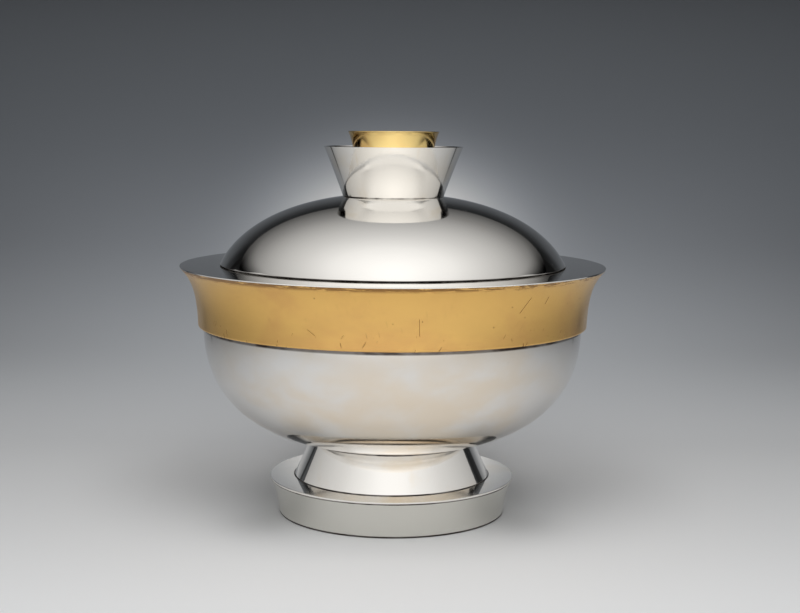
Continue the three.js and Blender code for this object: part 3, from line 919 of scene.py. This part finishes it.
def sweepPaper():
    look = paperLook
    material, tree, shader = paperFinish("sweepPaper")
    shader.inputs["Specular IOR Level"].default_value = look["specular"]
    axes = objectAxes(tree)
    away = calculate(tree, "ADD", axes["Y"], axes["Z"])
    sideways = calculate(tree, "ABSOLUTE", axes["X"])
    last = len(look["tones"]) - 1
    sockets = {"Value": away, "From Min": look["first"], "From Max": look["first"] + look["step"] * last}
    share = addNode(tree, "ShaderNodeMapRange", sockets).outputs[0]
    stops = [(index / last, level) for index, level in enumerate(look["tones"])]
    tone = toneRamp(tree, share, stops, "B_SPLINE")
    # sideways: least + (1 - least) exp(-(x / width)^2 / 2), narrower where the paper rises
    rising = times(tree, remap(tree, away, *look["riseStart"]), remap(tree, away, *look["riseEnd"]))
    width = timesPlus(tree, rising, look["wallWidth"] - look["floorWidth"], look["floorWidth"])
    fall = bellCurve(tree, calculate(tree, "DIVIDE", axes["X"], width))
    fall = timesPlus(tree, fall, 1 - look["sideLeast"], look["sideLeast"])
    tone = times(tree, tone, fall)
    # the floor far in front stays bright from side to side
    inFront = remap(tree, axes["Y"], *look["frontRange"])
    tone = timesPlus(tree, inFront, minus(tree, look["frontTone"], tone), tone)
    for aside, breadth, place, length, amount in look["besideSpots"]:
        near = bellCurve(tree, apart(tree, sideways, aside, breadth), apart(tree, away, place, length))
        tone = times(tree, tone, timesPlus(tree, near, amount, 1.0))
    # a soft pool of light behind the lid
    pool = bellCurve(tree, calculate(tree, "DIVIDE", axes["X"], look["glowWidth"]),
                     apart(tree, away, look["glowPlace"], look["glowLength"]))
    tone = timesPlus(tree, pool, look["glow"], tone)
    stripe = mirroredStripe(tree, sideways, axes)
    tone = times(tree, tone, timesPlus(tree, stripe, -look["stripeDepth"], 1.0))
    # high up and to the sides, out of the picture, the paper falls off faster
    corner = times(tree, remap(tree, sideways, *look["cornerAside"]), remap(tree, away, *look["cornerAway"]))
    tone = times(tree, tone, timesPlus(tree, corner, -look["cornerDepth"], 1.0))
    # tone asked for over the light that reaches the paper there
    light = remap(tree, away, *look["lightRange"], look["frontLight"], look["wallLight"])
    paper = calculate(tree, "MINIMUM", calculate(tree, "DIVIDE", tone, light), look["most"])
    paper = times(tree, paper, remap(tree, axes["Y"], *look["farRange"]))
    outside = calculate(tree, "MULTIPLY_ADD", pool, -look["poolPlain"], 1.0, clamp=True)
    coolness = times(tree, remap(tree, away, *look["coolRange"]), outside)
    tint = mixColour(tree, coolness, look["plain"], look["cool"])
    colour = mixColour(tree, 1.0, grey(tree, paper), tint, "MULTIPLY")
    tree.links.new(colour, shader.inputs["Base Color"])
    # seen from behind, the paper is clear
    facing = addNode(tree, "ShaderNodeNewGeometry").outputs["Backfacing"]
    clear = addNode(tree, "ShaderNodeBsdfTransparent")
    both = addNode(tree, "ShaderNodeMixShader", {0: facing, 1: shader.outputs[0], 2: clear.outputs[0]})
    tree.links.new(both.outputs[0], tree.nodes["Material Output"].inputs["Surface"])
    return material


def floorPaper():
    # the floor behind the sweep, pale with a slight mottle
    material, tree, shader = paperFinish("floorPaper")
    mottle = clouds(tree, objectPlace(tree), floorLook["mottleScale"], floorLook["mottleDetail"])
    colour = mixColour(tree, mottle, floorLook["grey"], floorLook["pale"])
    tree.links.new(colour, shader.inputs["Base Color"])
    return material


def placeStage(name, mesh, material):
    prop = bpy.data.objects.new(name, mesh)
    bpy.context.scene.collection.objects.link(prop)
    mesh.materials.append(material)
    return prop


placeStage("stageSweep", stripMesh("stageSweep", sweepLine()), sweepPaper())
backLine = straight((stageSize["bend"], -stageSize["under"]), (stageSize["reach"], -stageSize["under"]))
placeStage("stageFloor", stripMesh("stageFloor", backLine), floorPaper())


# Cards: flat lit panels that only the silver sees; they cast no shadow and are not in the picture
def cardFinish(name, measure):
    # light of the card's level where it is shown, and clear elsewhere
    material = bpy.data.materials.new(name)
    material.use_nodes = True
    tree = material.node_tree
    tree.nodes.clear()
    level, shown = measure(tree, objectAxes(tree))
    glow = addNode(tree, "ShaderNodeEmission", {"Strength": level})
    clear = addNode(tree, "ShaderNodeBsdfTransparent")
    both = addNode(tree, "ShaderNodeMixShader", {0: shown, 1: clear.outputs[0], 2: glow.outputs[0]})
    addNode(tree, "ShaderNodeOutputMaterial", {"Surface": both.outputs[0]})
    return material


def placeCard(name, corners, material):
    mesh = bpy.data.meshes.new(name)
    mesh.from_pydata(corners, [], [(0, 1, 2, 3)])
    card = placeStage(name, mesh, material)
    card.visible_camera = False
    card.visible_shadow = False
    card.visible_diffuse = False


# Side cards: upright, left and right, brighter towards the viewer, lower at the back
sideCard = {"place": 0.85, "front": -0.75, "leftEnd": 0.60, "rightEnd": 0.44, "low": 0.05, "high": 0.60,
            "backHigh": 0.45, "dropRange": (0.1, 0.4), "soft": 0.04, "frontSoft": 0.55,
            "middleLevel": 0.56, "slope": -0.35}


def sideCardLight(tree, axes):
    level = timesPlus(tree, axes["Y"], sideCard["slope"], sideCard["middleLevel"])
    top = remap(tree, axes["Y"], *sideCard["dropRange"], sideCard["high"], sideCard["backHigh"])
    upper = remap(tree, minus(tree, top, axes["Z"]), 0.0, sideCard["soft"])
    nearer = remap(tree, axes["Y"], sideCard["front"], sideCard["front"] + sideCard["frontSoft"])
    return level, times(tree, upper, nearer)


sideCardFinish = cardFinish("cardLight", sideCardLight)
for name, x, end in (("sideCardLeft", -sideCard["place"], sideCard["leftEnd"]),
                     ("sideCardRight", sideCard["place"], sideCard["rightEnd"])):
    start, low, high = sideCard["front"], sideCard["low"], sideCard["high"]
    placeCard(name, [(x, start, low), (x, end, low), (x, end, high), (x, start, high)], sideCardFinish)

# Front card: a lit sheet on the floor behind the camera, mirrored in the lid and the knob
frontCard = {"near": -0.45, "full": -0.80, "far": -5.5, "half": 4.0, "rise": 0.002, "level": 0.88}


def frontCardLight(tree, axes):
    return frontCard["level"], remap(tree, axes["Y"], frontCard["near"], frontCard["full"])


half, far, near, rise = (frontCard[key] for key in ("half", "far", "near", "rise"))
placeCard("frontCard", [(-half, far, rise), (half, far, rise), (half, near, rise), (-half, near, rise)],
          cardFinish("frontCardLight", frontCardLight))

# Overhead lamp: a large soft square that lights the floor and gives the bowl its shadow
overhead = {"place": (0.0, -0.78, 1.42), "size": 1.25, "power": 14.0}
lampData = bpy.data.lights.new("overhead", "AREA")
lampData.size = overhead["size"]
lampData.energy = overhead["power"]
lamp = bpy.data.objects.new("overhead", lampData)
lamp.location = overhead["place"]
lamp.rotation_euler = (math.atan2(-overhead["place"][1], overhead["place"][2]), 0.0, 0.0)
lamp.visible_camera = False
lamp.visible_glossy = False
bpy.context.scene.collection.objects.link(lamp)

# Light: one large soft tent, brightest overhead and in front, fading towards the back and the floor
# Levels by degrees from the tent's axis, which leans towards the viewer, and a broad panel low in front
# Ranges are parts of the direction: y from the viewer to the back, z from level to overhead
tent = {
    "lean": 27.0,
    "levels": [(0, 1.12), (10, 1.08), (20, 1.00), (30, 0.90), (37, 0.79), (47, 0.645), (57, 0.52), (67, 0.38),
               (77, 0.225), (87, 0.105), (94, 0.035), (110, 0.03)],
    "sideStart": (-0.30, 0.0), "sideEnd": (0.85, 0.60), "sideCut": (0.53, 0.342),
    "frontLevel": 0.38, "frontAhead": (0.17, -0.82), "frontUp": (0.67, 0.34),
    "hotRise": 38.0, "hotRange": (32.0, 6.0, 0.0, 0.05), "fill": 0.63, "shown": (0.10, 0.106, 0.115, 1),
}


def softTent():
    world = bpy.data.worlds.new("studio")
    world.use_nodes = True
    tree = world.node_tree
    direction = addNode(tree, "ShaderNodeTexCoord").outputs["Generated"]
    axes = addNode(tree, "ShaderNodeSeparateXYZ", {0: direction}).outputs

    def angleTo(axis):
        # degrees between the direction and an axis
        dot = vectorMath(tree, "DOT_PRODUCT", direction, axis)
        return times(tree, calculate(tree, "ARCCOSINE", dot), 180 / math.pi)

    lean, rise = math.radians(tent["lean"]), math.radians(tent["hotRise"])
    share = calculate(tree, "DIVIDE", angleTo((0, -math.sin(lean), math.cos(lean))), 180.0)
    level = toneRamp(tree, share, [(angle / 180, level) for angle, level in tent["levels"]], "LINEAR")
    # left and right the tent ends higher: it is cut below 20 to 32 degrees
    sides = times(tree, remap(tree, axes["Y"], *tent["sideStart"]), remap(tree, axes["Y"], *tent["sideEnd"]))
    cut = times(tree, sides, remap(tree, axes["Z"], *tent["sideCut"]))
    level = times(tree, level, minus(tree, 1.0, cut))
    front = times(tree, remap(tree, axes["Y"], *tent["frontAhead"]), remap(tree, axes["Z"], *tent["frontUp"]))
    level = timesPlus(tree, front, tent["frontLevel"], level)
    hot = remap(tree, angleTo((0, -math.cos(rise), math.sin(rise))), *tent["hotRange"])
    total = grey(tree, calculate(tree, "ADD", level, hot))
    # the silver sees the whole tent; on the paper it is only the fill beside the lamp
    path = addNode(tree, "ShaderNodeLightPath").outputs
    strength = timesPlus(tree, path["Is Glossy Ray"], 1 - tent["fill"], tent["fill"])
    total = mixColour(tree, 1.0, total, grey(tree, strength), "MULTIPLY")
    shown = mixColour(tree, path["Is Camera Ray"], total, tent["shown"])
    tree.links.new(shown, tree.nodes["Background"].inputs["Color"])
    return world


bpy.context.scene.world = softTent()
print("stage: sweep, cards and light made")

# Camera, fitted to the rims in the photograph; angles in radians
camera = {"place": (0.0, -0.9469, 0.2502), "lens": 66.96, "sensor": 36.0, "nearest": 0.01, "pitch": 0.1238,
          "yaw": math.radians(-0.2876), "roll": math.radians(0.4338)}
cameraData = bpy.data.cameras.new("camera")
cameraData.sensor_fit = "HORIZONTAL"
cameraData.sensor_width = camera["sensor"]
cameraData.lens = camera["lens"]
cameraData.clip_start = camera["nearest"]
cameraObject = bpy.data.objects.new("camera", cameraData)
bpy.context.scene.collection.objects.link(cameraObject)
aim = (Matrix.Rotation(camera["yaw"], 3, "Z") @ Matrix.Rotation(math.pi / 2 - camera["pitch"], 3, "X")
       @ Matrix.Rotation(camera["roll"], 3, "Z"))
cameraObject.location = camera["place"]
cameraObject.rotation_euler = aim.to_euler()
bpy.context.scene.camera = cameraObject
bpy.context.scene.view_settings.view_transform = "Standard"
